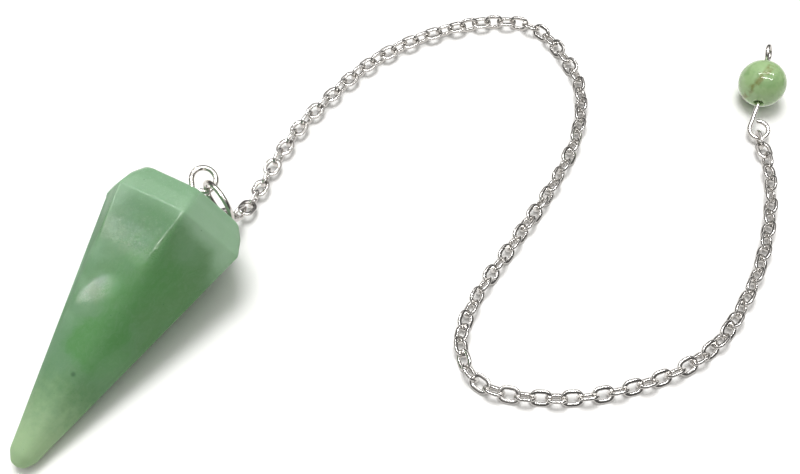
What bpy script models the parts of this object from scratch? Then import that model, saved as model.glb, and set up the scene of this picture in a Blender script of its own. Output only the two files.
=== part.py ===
"""Pendulum pendant lying on a surface: a six-sided aventurine pendulum whose eye
carries a jump ring, a cable chain, and a drilled bead on a wire pin.

Units are metres, +Z is up and the surface is z = 0. The origin is under the
middle of the whole, on the surface.
"""

import math

import bmesh
import bpy
import numpy as np
from mathutils import Matrix, Vector

# Shared clearance between pieces that only touch
GAP = 0.0003

# Stone, a hexagonal cone with a low crown
STONE_ACROSS = 0.0181       # side corner to side corner at the girdle
STONE_THICK = 0.0147        # facet that it lies on to the facet on top, at the girdle
TOP_SHARE = 0.443           # width of those two facets, in widths of the stone
STONE_TAPER = 0.0372        # girdle to the point where the long facets would meet
TIP_CUT = 0.0076            # from that point back to the tip's shoulder
TIP_HEIGHT = 0.0011         # shoulder to the blunt end
TIP_ACROSS = 0.0018         # side corner to side corner of the blunt end
CROWN_HEIGHT = 0.00355
TABLE_ACROSS = 0.0133       # side corner to side corner of the table
STONE_HEADING = 61.7        # degrees from +X of the way from tip to table
STONE_SHIFT = 0.0003        # the stone's middle off the eye, across the table
TABLE_PLACE = (-0.02844, -0.00334)
STONE_SIDES = 6

# Eye glued into the table
EYE_WIRE = 0.00065
EYE_ACROSS = 0.0035         # outside of the loop
EYE_REACH = 0.0030          # table to the loop's middle
EYE_NECK = 0.0006           # straight wire above the table
EYE_DEPTH = 0.0035          # shank inside the stone
EYE_TURN = 206.0            # degrees about the stone's axis, the side that the ring leans to

# Jump ring leaning from the eye against the table
RING_WIRE = 0.00065
RING_ACROSS = 0.0058
RING_SLIT = 0.00012
RING_SLIT_TURN = 130.0      # degrees round the ring from its far end
CHAIN_TURN = 60.0           # degrees round the ring from its far end to the first link

# Chain links
LINK_LENGTH = 0.00245
LINK_WIDTH = 0.00195
LINK_WIRE = 0.00042
WIRE_SEAT = 0.70            # middle to middle of two crossing wires, in wire thicknesses
WIRE_FULLNESS = 1.10        # corner radius of the five-sided wire, in wire radii
MEETING_SLACK = 0.00032     # play between the chain's two stretches
UPPER_SHARE = 0.5           # share of the links in the first stretch
DROP_RUN = 0.0052           # the chain comes down from the ring over this run

# Bead and its pin
BEAD_ACROSS = 0.0060
BEAD_PLACE = (0.0423, 0.0188)
PIN_WIRE = 0.00055
PIN_HEADING = 253.5         # degrees from +X of the way from the bead to the chain
LOWER_LOOP_ACROSS = 0.0029  # outside of the loop that holds the chain
LOWER_REACH = 0.0036        # bead's surface to that loop's middle
LOWER_SHIFT = 0.0007        # that loop's middle off the pin's line
UPPER_LOOP_ACROSS = 0.00245
UPPER_REACH = 0.00145
UPPER_TURN = -72.0          # degrees about the pin between the two loops
LOOP_SLIT = 0.00012
LAST_LINK_TURN = 12.0       # degrees round the lower loop from its far end to the last link

# Where the chain lies, from the ring to the bead's pin: x, y
CHAIN_ROUTE = [
    (-0.0239, -0.0014),
    (-0.0226, 0.0010),
    (-0.0201, 0.0072),
    (-0.0170, 0.0134),
    (-0.0128, 0.0191),
    (-0.0083, 0.0241),
    (-0.0025, 0.0282),
    (0.0039, 0.0308),
    (0.0088, 0.0317),
    (0.0118, 0.0315),
    (0.0144, 0.0302),
    (0.0173, 0.0258),
    (0.0189, 0.0217),
    (0.0191, 0.0172),
    (0.0178, 0.0112),
    (0.0150, 0.0051),
    (0.0095, -0.0039),
    (0.0041, -0.0127),
    (0.0028, -0.0158),
    (0.0024, -0.0183),
    (0.0030, -0.0210),
    (0.0043, -0.0230),
    (0.0065, -0.0241),
    (0.0100, -0.0247),
    (0.0157, -0.0247),
    (0.0215, -0.0234),
    (0.0272, -0.0211),
    (0.0317, -0.0177),
    (0.0351, -0.0130),
    (0.0381, -0.0074),
    (0.0401, -0.0017),
    (0.0413, 0.0042),
    (0.0415, 0.0082),
]

# How the links lie along the chain: share of its length, turn of the links in degrees,
# where 0 lies flat and stands on edge by turns and 45 leans to either side by turns
CHAIN_LIE = [
    (0.00, 0.0),
    (0.26, 0.0),
    (0.36, 45.0),
    (0.94, 45.0),
]

# Mesh fineness
LINK_STATIONS = 10
LINK_SIDES = 5
WIRE_SIDES = 6
LOOP_STATIONS = 12
RING_STATIONS = 16
BEAD_SIDES = 16
BEAD_STATIONS = 9
HOLE_SIDES = 12
CURVE_STEPS = 24

# Looks: colour, roughness, metallic
STONE_LOOK = ((0.20, 0.37, 0.19), 0.18, 0.0)
BEAD_LOOK = ((0.30, 0.48, 0.26), 0.15, 0.0)
STEEL_LOOK = ((0.74, 0.73, 0.71), 0.22, 1.0)


def clear_scene():
    """Remove every object of the startup scene."""
    for item in list(bpy.data.objects):
        bpy.data.objects.remove(item, do_unlink=True)


def make_material(name, look):
    """A Principled material with a colour, a roughness and a metallic value."""
    colour, roughness, metallic = look
    material = bpy.data.materials.new(name)
    material.use_nodes = True
    shader = material.node_tree.nodes["Principled BSDF"]
    shader.inputs["Base Color"].default_value = (*colour, 1.0)
    shader.inputs["Roughness"].default_value = roughness
    shader.inputs["Metallic"].default_value = metallic
    material.diffuse_color = (*colour, 1.0)
    return material


def make_frame(name, axes, place, parent=None):
    """An empty whose X, Y and Z point along three given directions."""
    frame = bpy.data.objects.new(name, None)
    bpy.context.scene.collection.objects.link(frame)
    turn = Matrix(axes).transposed().to_4x4()
    frame.matrix_basis = Matrix.Translation(place) @ turn
    frame.parent = parent
    return frame


def make_piece(name, points, faces, look, parent, smooth=True):
    """A mesh object of its own material, with its faces turned outwards."""
    mesh = bpy.data.meshes.new(name)
    mesh.from_pydata([tuple(map(float, point)) for point in points], [], faces)
    body = bmesh.new()
    body.from_mesh(mesh)
    bmesh.ops.recalc_face_normals(body, faces=body.faces)
    body.to_mesh(mesh)
    body.free()
    if smooth:
        mesh.shade_smooth()
        mesh.set_sharp_from_angle(angle=math.radians(50))
    piece = bpy.data.objects.new(name, mesh)
    piece.data.materials.append(make_material(name, look))
    piece.parent = parent
    bpy.context.scene.collection.objects.link(piece)
    return piece


def add_boolean(piece, tool, operation):
    """Cut or join a hidden solid into a piece."""
    tool.hide_render = True
    tool.display_type = "WIRE"
    modifier = piece.modifiers.new(operation.lower(), "BOOLEAN")
    modifier.operation = operation
    modifier.solver = "EXACT"
    modifier.object = tool


def ring_faces(rings, sides, closed):
    """Quads between neighbouring rings of points, with caps where the tube is open."""
    faces = []
    for ring in range(rings if closed else rings - 1):
        here = ring * sides
        there = (ring + 1) % rings * sides
        for side in range(sides):
            after = (side + 1) % sides
            faces.append((here + side, here + after, there + after, there + side))
    if not closed:
        faces.append(tuple(reversed(range(sides))))
        faces.append(tuple(range((rings - 1) * sides, rings * sides)))
    return faces


def tube(path, radius, sides, closed=False, start_across=None):
    """Points and faces of a round wire along a path, its section carried without twist."""
    path = np.asarray(path, dtype=float)
    if closed:
        ahead = np.roll(path, -1, axis=0)
        behind = np.roll(path, 1, axis=0)
    else:
        ahead = np.vstack([path[1:], path[-1:]])
        behind = np.vstack([path[:1], path[:-1]])
    along = ahead - behind
    along /= np.linalg.norm(along, axis=1)[:, None]
    across = np.asarray(start_across if start_across is not None else (0.0, 0.0, 1.0), dtype=float)
    turns = np.arange(sides) * 2 * math.pi / sides
    points = []
    for place, heading in zip(path, along):
        across = across - heading * np.dot(across, heading)
        across /= np.linalg.norm(across)
        third = np.cross(heading, across)
        for turn in turns:
            points.append(place + radius * (math.cos(turn) * across + math.sin(turn) * third))
    return points, ring_faces(len(path), sides, closed)


def looped_end(neck, reach, loop_radius, wire, shift=0.0):
    """A wire's way into a round eye, as (across, along) from its root.

    The wire runs straight for the neck, leaves it on the line that touches the
    loop's circle, and follows the circle until it almost meets itself. The circle's
    middle may lie to one side of the neck's line.
    """
    span = math.hypot(reach - neck, shift)
    lead = math.asin(loop_radius / span) - math.atan2(shift, reach - neck)
    touch = math.sqrt(span ** 2 - loop_radius ** 2)
    start = (-math.sin(lead) * touch, neck + math.cos(lead) * touch)
    open_turn = math.acos(1 - (wire + LOOP_SLIT) / loop_radius)
    sweep = 2 * math.pi - open_turn
    way = [(0.0, neck), start]
    for step in range(1, LOOP_STATIONS + 1):
        turn = math.pi + lead - sweep * step / LOOP_STATIONS
        way.append((shift + loop_radius * math.cos(turn), reach + loop_radius * math.sin(turn)))
    return way


def hexagon(across, height):
    """Six corners on a level, with the top and bottom sides level with X."""
    side = across / 2
    top = across / 2 * TOP_SHARE
    rise = across / 2 * STONE_THICK / STONE_ACROSS
    plan = [(side, 0.0), (top, rise), (-top, rise), (-side, 0.0), (-top, -rise), (top, -rise)]
    return [(STONE_SHIFT + x, y, height) for x, y in plan]


def stone_tilt():
    """The axis rises by the slope of the long facet that it lies on."""
    return math.atan2(STONE_THICK / 2, STONE_TAPER)


def make_stone_frame(parent):
    """The stone's own axes: Z out of the table, Y up from the facet that it lies on."""
    tilt = stone_tilt()
    heading = math.radians(STONE_HEADING)
    out = Vector((math.cos(tilt) * math.cos(heading), math.cos(tilt) * math.sin(heading), math.sin(tilt)))
    up = Vector((-math.sin(tilt) * math.cos(heading), -math.sin(tilt) * math.sin(heading), math.cos(tilt)))
    height = (STONE_TAPER + CROWN_HEIGHT) * math.sin(tilt)
    return make_frame("stone_frame", (up.cross(out), up, out), (*TABLE_PLACE, height), parent)


def make_stone(frame):
    """Crown, long facets and blunt tip, with a blind hole for the eye's shank."""
    girdle = -CROWN_HEIGHT
    shoulder = girdle - STONE_TAPER + TIP_CUT
    shoulder_across = STONE_ACROSS * TIP_CUT / STONE_TAPER
    levels = [
        hexagon(TIP_ACROSS, shoulder - TIP_HEIGHT),
        hexagon(shoulder_across, shoulder),
        hexagon(STONE_ACROSS, girdle),
        hexagon(TABLE_ACROSS, 0.0),
    ]
    points = [point for level in levels for point in level]
    faces = ring_faces(len(levels), STONE_SIDES, closed=False)
    stone = make_piece("stone", points, faces, STONE_LOOK, frame, smooth=False)
    depth = EYE_DEPTH + GAP
    hole_path = [(0.0, 0.0, -depth), (0.0, 0.0, TABLE_ACROSS / 4)]
    points, faces = tube(hole_path, EYE_WIRE / 2 + GAP, HOLE_SIDES, start_across=(1.0, 0.0, 0.0))
    hole = make_piece("eye_hole", points, faces, STONE_LOOK, frame)
    add_boolean(stone, hole, "DIFFERENCE")


def eye_directions():
    """The way across the eye's loop, towards the ring's side, and the way through it."""
    turn = math.radians(EYE_TURN)
    across = np.array((math.cos(turn), math.sin(turn), 0.0))
    through = np.array((-math.sin(turn), math.cos(turn), 0.0))
    return across, through


def make_eye(frame):
    """A wire with a round loop, its shank in the stone's hole."""
    across, through = eye_directions()
    axis = np.array((0.0, 0.0, 1.0))
    way = looped_end(EYE_NECK, EYE_REACH, (EYE_ACROSS - EYE_WIRE) / 2, EYE_WIRE)
    path = [-EYE_DEPTH * axis] + [sideways * across + along * axis for sideways, along in way]
    points, faces = tube(path, EYE_WIRE / 2, WIRE_SIDES, start_across=through)
    make_piece("eye_loop", points, faces, STEEL_LOOK, frame)


def ring_layout():
    """The ring's middle, the way to its far end and the way through the eye.

    It hangs in the eye and leans until its far end lies a gap off the table.
    """
    across, through = eye_directions()
    axis = np.array((0.0, 0.0, 1.0))
    ring_radius = (RING_ACROSS - RING_WIRE) / 2
    hang = EYE_ACROSS / 2 - EYE_WIRE - RING_WIRE / 2 - GAP
    drop = EYE_REACH - RING_WIRE / 2 - GAP
    lean = math.asin(min(1.0, drop / (hang + 2 * ring_radius)))
    far = math.cos(lean) * across - math.sin(lean) * axis
    middle = EYE_REACH * axis + (hang + ring_radius) * far
    return middle, far, through, ring_radius


def make_jump_ring(frame):
    """A round ring of wire, cut once."""
    middle, far, through, radius = ring_layout()
    slit = RING_SLIT / radius
    first = math.radians(RING_SLIT_TURN) + slit / 2
    path = []
    for station in range(RING_STATIONS + 1):
        turn = first + (2 * math.pi - slit) * station / RING_STATIONS
        path.append(middle + radius * (math.cos(turn) * far + math.sin(turn) * through))
    points, faces = tube(path, RING_WIRE / 2, WIRE_SIDES, start_across=np.cross(far, through))
    make_piece("jump_ring", points, faces, STEEL_LOOK, frame)


def make_bead_frame(parent):
    """The bead's own axes: Z along the pin to the chain, X across the lower loop.

    The pin slopes until its lower loop lies on the chain's last link.
    """
    radius = BEAD_ACROSS / 2
    loop_radius = (LOWER_LOOP_ACROSS - PIN_WIRE) / 2
    lift = LINK_WIRE + GAP + PIN_WIRE / 2
    tilt = math.asin((radius - lift) / (radius + LOWER_REACH + loop_radius))
    heading = math.radians(PIN_HEADING)
    flat = Vector((math.cos(heading), math.sin(heading), 0.0))
    along = flat * math.cos(tilt) - Vector((0.0, 0.0, 1.0)) * math.sin(tilt)
    across = Vector((-flat.y, flat.x, 0.0))
    return make_frame("bead_frame", (across, along.cross(across), along), (*BEAD_PLACE, radius), parent)


def make_bead(frame):
    """A ball turned about its pin with a straight hole through it."""
    radius = BEAD_ACROSS / 2
    bore = PIN_WIRE / 2 + GAP
    mouth = math.acos(bore / radius)
    outline = []
    for station in range(BEAD_STATIONS + 1):
        rise = mouth * (2 * station / BEAD_STATIONS - 1)
        outline.append((radius * math.cos(rise), radius * math.sin(rise)))
    points = []
    for side in range(BEAD_SIDES):
        turn = 2 * math.pi * side / BEAD_SIDES
        for out, height in outline:
            points.append((out * math.cos(turn), out * math.sin(turn), height))
    faces = ring_faces(BEAD_SIDES, len(outline), closed=True)
    make_piece("bead", points, faces, BEAD_LOOK, frame)


def make_bead_pin(frame):
    """A wire through the bead with a loop turned at each end."""
    radius = BEAD_ACROSS / 2
    axis = np.array((0.0, 0.0, 1.0))
    across = np.array((1.0, 0.0, 0.0))
    turn = math.radians(UPPER_TURN)
    upper_across = np.array((math.cos(turn), math.sin(turn), 0.0))
    lower_radius = (LOWER_LOOP_ACROSS - PIN_WIRE) / 2
    lower = looped_end(radius, radius + LOWER_REACH, lower_radius, PIN_WIRE, LOWER_SHIFT)
    upper = looped_end(radius, radius + UPPER_REACH, (UPPER_LOOP_ACROSS - PIN_WIRE) / 2, PIN_WIRE)
    path = [sideways * upper_across - along * axis for sideways, along in reversed(upper)]
    path += [sideways * across + along * axis for sideways, along in lower]
    points, faces = tube(path, PIN_WIRE / 2, WIRE_SIDES, start_across=np.cross(upper_across, axis))
    make_piece("bead_pin", points, faces, STEEL_LOOK, frame)


def link_wire_radius():
    """Corner radius of the link's five-sided wire."""
    return LINK_WIRE / 2 * WIRE_FULLNESS


def link_mesh():
    """A long round-ended link along X and Y, its stations on two half circles."""
    end_radius = (LINK_WIDTH - LINK_WIRE) / 2
    straight = (LINK_LENGTH - LINK_WIDTH) / 2
    half = LINK_STATIONS // 2
    path = []
    for end in (1, -1):
        for station in range(half):
            turn = math.pi * (station / (half - 1) - 0.5)
            x = end * (straight + end_radius * math.cos(turn))
            path.append((x, end * end_radius * math.sin(turn), 0.0))
    return tube(path, link_wire_radius(), LINK_SIDES, closed=True)


def smooth_through(points, steps):
    """A smooth curve through the points: cubic pieces whose slope at each point is
    that of its neighbours' chord, taken by distance."""
    points = np.asarray(points, dtype=float)
    runs = np.linalg.norm(np.diff(points, axis=0), axis=1)
    knots = np.concatenate([[0.0], np.cumsum(runs)])
    slopes = np.gradient(points, knots, axis=0)
    curve = []
    for piece, run in enumerate(runs):
        share = np.linspace(0.0, 1.0, steps, endpoint=False)[:, None]
        curve.append(
            (2 * share**3 - 3 * share**2 + 1) * points[piece]
            + (share**3 - 2 * share**2 + share) * run * slopes[piece]
            + (3 * share**2 - 2 * share**3) * points[piece + 1]
            + (share**3 - share**2) * run * slopes[piece + 1]
        )
    return np.vstack(curve + [points[-1:]])


def run_lengths(curve):
    """Distance from the start to each point of a curve."""
    return np.concatenate([[0.0], np.cumsum(np.linalg.norm(np.diff(curve, axis=0), axis=1))])


def link_hold(wire):
    """How far a chain's end passes the middle of the wire that its last link hangs on."""
    inside = (LINK_LENGTH - LINK_WIRE) / 2 - link_wire_radius() - wire / 2 - GAP
    return link_pitch() / 2 - inside


def link_pitch():
    """Link to link where crossing wires press together."""
    return LINK_LENGTH - LINK_WIRE - WIRE_SEAT * LINK_WIRE


def lie_turns(share, last_turn):
    """The links' turn along the chain, ending at the turn that the pin's loop asks for."""
    shares, turns = zip(*CHAIN_LIE)
    return np.interp(share, [*shares, 1.0], [*turns, last_turn])


def rest_height(turn):
    """Height of a link's middle when the lower of two neighbours touches the surface."""
    lean = np.radians(turn)
    reach = np.maximum(np.abs(np.sin(lean)), np.abs(np.cos(lean)))
    return (LINK_WIDTH - LINK_WIRE) / 2 * reach + link_wire_radius()


def chain_curve(start, end, last_turn):
    """The chain's middle line: its route on the surface, raised to meet the ring."""
    plan = smooth_through([start[:2], *CHAIN_ROUTE, end[:2]], CURVE_STEPS)
    run = run_lengths(plan)
    height = rest_height(lie_turns(run / run[-1], last_turn))
    fall = np.clip(1 - run / DROP_RUN, 0.0, 1.0) ** 2
    height = height + (start[2] - height[0]) * fall
    curve = np.column_stack([plan, height])
    first = (curve[0] - curve[1]) / np.linalg.norm(curve[0] - curve[1])
    last = (curve[-1] - curve[-2]) / np.linalg.norm(curve[-1] - curve[-2])
    before = curve[0] + first * link_hold(RING_WIRE)
    after = curve[-1] + last * link_hold(PIN_WIRE)
    return np.vstack([before, curve, after])


def link_places(start, end):
    """Middle, long way and turn of each link, and the number in the first stretch."""
    count = 0
    last_turn = 0.0
    for _ in range(3):
        curve = chain_curve(start, end, last_turn)
        run = run_lengths(curve)
        count = math.ceil((run[-1] + MEETING_SLACK) / link_pitch())
        last_turn = 90.0 * ((count + 1) % 2)
    upper = round(count * UPPER_SHARE)
    spacing = (run[-1] + MEETING_SLACK) / count
    number = np.arange(count)
    near = number * spacing - np.where(number < upper, 0.0, MEETING_SLACK)
    ends = [
        np.column_stack([np.interp(along, run, curve[:, axis]) for axis in range(3)])
        for along in (near, near + spacing)
    ]
    middles = (ends[0] + ends[1]) / 2
    headings = ends[1] - ends[0]
    headings /= np.linalg.norm(headings, axis=1)[:, None]
    turns = lie_turns((near + spacing / 2) / run[-1], last_turn) + 90.0 * ((number + 1) % 2)
    return middles, headings, np.radians(turns), upper


def placed_links(name, middles, headings, turns, parent):
    """Several links as one mesh, each turned about its own long way."""
    shape, faces = link_mesh()
    shape = np.array(shape)
    points = []
    all_faces = []
    for middle, heading, turn in zip(middles, headings, turns):
        sideways = np.cross((0.0, 0.0, 1.0), heading)
        sideways /= np.linalg.norm(sideways)
        upright = np.cross(heading, sideways)
        face_way = math.cos(turn) * upright + math.sin(turn) * sideways
        width_way = np.cross(face_way, heading)
        first = len(points)
        points.extend(middle + shape @ np.array((heading, width_way, face_way)))
        all_faces.extend(tuple(first + corner for corner in face) for face in faces)
    return make_piece(name, points, all_faces, STEEL_LOOK, parent)


def make_chain(start, end, parent):
    """Two stretches of interlocked links, each fused where its wires cross."""
    middles, headings, turns, upper = link_places(start, end)
    for name, stretch in (("chain_upper", slice(0, upper)), ("chain_lower", slice(upper, None))):
        links = [values[stretch] for values in (middles, headings, turns)]
        chain = placed_links(name, *(values[0::2] for values in links), parent)
        between = placed_links(name + "_between", *(values[1::2] for values in links), parent)
        add_boolean(chain, between, "UNION")


def ring_hold_point(frame):
    """The ring's wire where the first link hangs."""
    middle, far, through, radius = ring_layout()
    turn = math.radians(CHAIN_TURN)
    place = middle + radius * (math.cos(turn) * far + math.sin(turn) * through)
    return np.array(frame.matrix_basis @ Vector(place))


def pin_hold_point(frame):
    """The lower loop's wire where the last link hangs."""
    loop_radius = (LOWER_LOOP_ACROSS - PIN_WIRE) / 2
    turn = math.radians(LAST_LINK_TURN)
    reach = BEAD_ACROSS / 2 + LOWER_REACH + loop_radius * math.cos(turn)
    sideways = LOWER_SHIFT + loop_radius * math.sin(turn)
    return np.array(frame.matrix_basis @ Vector((sideways, 0.0, reach)))


def centre_on_origin(root):
    """Move the whole so that its box stands on the origin."""
    bpy.context.view_layer.update()
    depsgraph = bpy.context.evaluated_depsgraph_get()
    corners = []
    for item in bpy.data.objects:
        if item.type == "MESH" and not item.hide_render:
            mesh = item.evaluated_get(depsgraph).data
            place = item.matrix_world
            corners.extend(place @ vertex.co for vertex in mesh.vertices)
    corners = np.array(corners)
    low = corners.min(axis=0)
    high = corners.max(axis=0)
    root.location = (-(low[0] + high[0]) / 2, -(low[1] + high[1]) / 2, -low[2])


def main():
    clear_scene()
    root = make_frame("pendulum", ((1, 0, 0), (0, 1, 0), (0, 0, 1)), (0, 0, 0))
    stone_frame = make_stone_frame(root)
    bead_frame = make_bead_frame(root)
    make_stone(stone_frame)
    make_eye(stone_frame)
    make_jump_ring(stone_frame)
    make_bead(bead_frame)
    make_bead_pin(bead_frame)
    make_chain(ring_hold_point(stone_frame), pin_hold_point(bead_frame), root)
    centre_on_origin(root)


main()
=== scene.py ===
"""Looks of a pendulum pendant that lies on a table: an aventurine pendulum, its eye and
jump ring, a cable chain, and a small bead on a looped pin.

Every piece is a surface worked out with numpy in metres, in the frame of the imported
model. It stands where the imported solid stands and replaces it.
"""

import math

import bpy
import numpy as np
from bpy.props import FloatProperty, FloatVectorProperty, IntProperty, PointerProperty
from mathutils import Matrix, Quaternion, Vector


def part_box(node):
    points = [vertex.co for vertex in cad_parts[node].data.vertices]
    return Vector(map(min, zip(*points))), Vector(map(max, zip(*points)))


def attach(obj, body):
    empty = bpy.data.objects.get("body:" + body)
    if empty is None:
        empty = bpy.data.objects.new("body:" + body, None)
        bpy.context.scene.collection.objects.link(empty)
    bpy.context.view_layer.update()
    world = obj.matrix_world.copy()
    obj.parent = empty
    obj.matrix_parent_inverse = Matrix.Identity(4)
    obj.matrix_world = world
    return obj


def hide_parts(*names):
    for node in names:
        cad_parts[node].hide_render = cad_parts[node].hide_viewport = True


bl_info = {
    "name": "Pendulum Pendant",
    "version": (1, 0, 0),
    "blender": (4, 5, 0),
    "location": "3D View > Sidebar > Pendant",
    "description": "Makes an aventurine pendulum on a cable chain with an end bead",
    "category": "Add Mesh",
}

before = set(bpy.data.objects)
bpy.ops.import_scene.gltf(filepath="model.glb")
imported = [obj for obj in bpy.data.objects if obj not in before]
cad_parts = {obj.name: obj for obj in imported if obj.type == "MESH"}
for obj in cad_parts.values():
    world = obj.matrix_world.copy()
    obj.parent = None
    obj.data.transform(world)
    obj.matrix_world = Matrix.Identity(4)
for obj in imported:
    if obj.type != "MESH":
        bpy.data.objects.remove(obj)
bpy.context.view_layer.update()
BODY = "root"

# Where the chain lies, from the ring to the bead's pin: x, y in millimetres
CHAIN_ROUTE = (
    (-23.9, -1.4), (-22.6, 1.0), (-20.1, 7.2), (-17.0, 13.4), (-12.8, 19.1), (-8.3, 24.1),
    (-2.5, 28.2), (3.9, 30.8), (8.8, 31.7), (11.8, 31.5), (14.4, 30.2), (17.3, 25.8),
    (18.9, 21.7), (19.1, 17.2), (17.8, 11.2), (15.0, 5.1), (9.5, -3.9), (4.1, -12.7),
    (2.8, -15.8), (2.4, -18.3), (3.0, -21.0), (4.3, -23.0), (6.5, -24.1), (10.0, -24.7),
    (15.7, -24.7), (21.5, -23.4), (27.2, -21.1), (31.7, -17.7), (35.1, -13.0), (38.1, -7.4),
    (40.1, -1.7), (41.3, 4.2), (41.5, 8.2),
)
# How the links lie: share of the chain's length, turn of the links in degrees
CHAIN_LIE = ((0.00, 0.0), (0.26, 0.0), (0.36, 45.0), (0.94, 45.0))

# Dense green clouds in the stone: middle and size in millimetres in the stone's own
# axes, depth of the colour
STONE_CLOUDS = (
    (-5.5, 3.9, -6.4, 4.0, 0.36), (-4.5, 3.7, -10.4, 3.6, 0.60), (-4.0, 2.6, -15.2, 3.8, 0.26),
    (-7.2, 1.6, -2.8, 2.8, 0.42), (-2.3, 3.2, -20.2, 3.8, 1.00), (-0.6, 6.8, -6.4, 4.2, 0.45),
    (-1.4, 5.6, -11.5, 4.0, 0.50), (-1.8, 4.6, -16.0, 3.6, 0.65), (4.6, -3.6, -9.0, 4.5, 0.75),
    (0.6, -5.6, -15.0, 4.2, 0.65), (4.2, 1.8, -18.5, 3.8, 0.50), (-0.6, 4.1, -19.6, 2.8, 0.85),
    (0.2, 3.6, -22.2, 2.2, 0.25),
)
# One dark fleck at the surface, in the same terms
STONE_FLECK = ((-1.05, 3.20, -23.6, 0.32, 0.75),)
# Where the worn lower part has kept its polish, in the same terms
STONE_POLISH = ((1.85, 4.90, -16.1, 1.7, 0.85), (0.60, 5.25, -14.3, 1.7, 0.85))
# Pale haze in the stone and painted light, in the same terms
# The patches on the right of the crown and girdle are painted light on the side that the lamps
# leave darker
# The row on the left top edge, fading towards the tip, is a painted soft highlight
STONE_HAZE_AND_PAINTED_LIGHT = (
    (-5.0, 5.6, -3.0, 3.0, 0.50), (-5.4, 4.2, -5.2, 2.8, 0.12), (-3.6, 1.4, -21.2, 2.8, 0.14),
    (-7.5, 1.6, -3.0, 3.8, 0.72), (-8.2, 0.4, -6.0, 3.0, 0.30), (7.0, 4.2, -5.0, 2.6, 0.55),
    (6.0, 0.5, -14.0, 3.0, 0.40), (4.3, 7.1, -4.8, 2.2, 0.45), (4.0, 6.4, -8.0, 1.7, 0.26),
    (3.5, 5.7, -11.5, 1.7, 0.26), (3.0, 5.0, -15.0, 1.6, 0.22), (2.5, 4.3, -18.5, 1.4, 0.16),
)
# Rounding of the stone's long edges: share of the way from girdle to point, then radius
# in millimetres of the edges in the order of the section's corners
STONE_EDGES = (
    (-0.095, (1.40,) * 6),
    (-0.045, (1.20,) * 6),
    (0.000, (0.50, 0.45, 0.50, 0.60, 0.50, 0.50)),
    (0.050, (0.50, 0.50, 0.65, 0.70, 0.60, 0.60)),
    (0.090, (0.60, 0.60, 1.40, 0.80, 0.80, 0.80)),
    (0.230, (0.70, 0.90, 2.70, 0.90, 1.20, 1.20)),
    (0.450, (1.00, 1.60, 2.90, 1.20, 1.60, 1.60)),
    (1.000, (2.00, 2.50, 3.20, 2.00, 2.50, 2.50)),
)


def number(name, text, default, **more):
    """A number that a user can set."""
    return FloatProperty(name=name, description=text, default=default, **more)


def length(name, text, default):
    """A length in metres that a user can set."""
    return number(name, text, default, min=0.0, unit="LENGTH", precision=5)


def angle(name, text, degrees):
    """An angle that a user can set."""
    return number(name, text, math.radians(degrees), unit="ROTATION")


def share(name, text, default):
    """A number from 0 to 1 that a user can set."""
    return number(name, text, default, min=0.0, max=1.0, subtype="FACTOR")


def colour(name, text, value):
    """A colour that a user can set."""
    return FloatVectorProperty(
        name=name, description=text, default=value, subtype="COLOR", min=0.0, max=1.0)


class StoneSettings(bpy.types.PropertyGroup):
    """Sizes and colours of the stone"""

    across: length("Across", "Side corner to side corner at the girdle", 0.0181)
    thick: length("Thickness", "Facet that it lies on to the facet on top, at the girdle", 0.0147)
    top_share: share("Top facet", "Width of those two facets, in widths of the stone", 0.443)
    taper: length("Taper", "Girdle to the point where the long facets would meet", 0.0372)
    tip_cut: length("Tip cut", "From that point back to the tip's shoulder", 0.0076)
    tip_height: length("Tip height", "Shoulder to the blunt end", 0.0011)
    tip_across: length("Tip across", "Side corner to side corner of the blunt end", 0.0018)
    crown_height: length("Crown height", "Girdle to table", 0.00355)
    table_across: length("Table across", "Side corner to side corner of the table", 0.0142)
    crown_swell: length("Crown swell", "How far the crown stands proud of a slope", 0.00026)
    heading: angle("Heading", "Way from tip to table, from +X", 61.7)
    sideways: length("Sideways", "The stone's middle off the eye, across the table", 0.0003)
    bulge: share("Corner bulge", "How far the crown stands out at one side corner", 0.040)
    wider: length("Wider facet", "How much further the top facet reaches on that side", 0.00045)
    edge_worn: number("Wear", "Rounding of the long edges, in usual ones", 1.0, min=0.0)
    girdle_soft: length("Girdle rounding", "Radius across the girdle", 0.00085)
    table_soft: length("Table rounding", "Radius round the table", 0.00080)
    tip_soft: length("Tip rounding", "Radius round the tip's shoulder", 0.0017)
    waver: share("Waver", "Unevenness of the long edges' rounding", 0.05)
    swell: length("Swell", "How far a long facet stands proud of flat", 0.00004)
    # Colour of the pale haze, and of the painted light and painted soft highlight among its patches
    haze_and_painted_light: colour("Haze", "Colour of the pale haze", (0.320, 0.490, 0.330))
    milky: colour("Milky green", "Colour of the crown", (0.225, 0.385, 0.235))
    grey: colour("Grey green", "Colour of the long facets", (0.133, 0.262, 0.143))
    green: colour("Green", "Colour of their greener parts", (0.102, 0.225, 0.090))
    deep: colour("Deep green", "Colour of the dense clouds", (0.078, 0.230, 0.068))
    tip: colour("Tip green", "Yellowish colour at the tip", (0.320, 0.462, 0.258))
    speck: colour("Speck", "Colour of the tiny grains", (0.040, 0.105, 0.050))
    roughness: share("Roughness", "Polish of the facets", 0.15)


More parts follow.
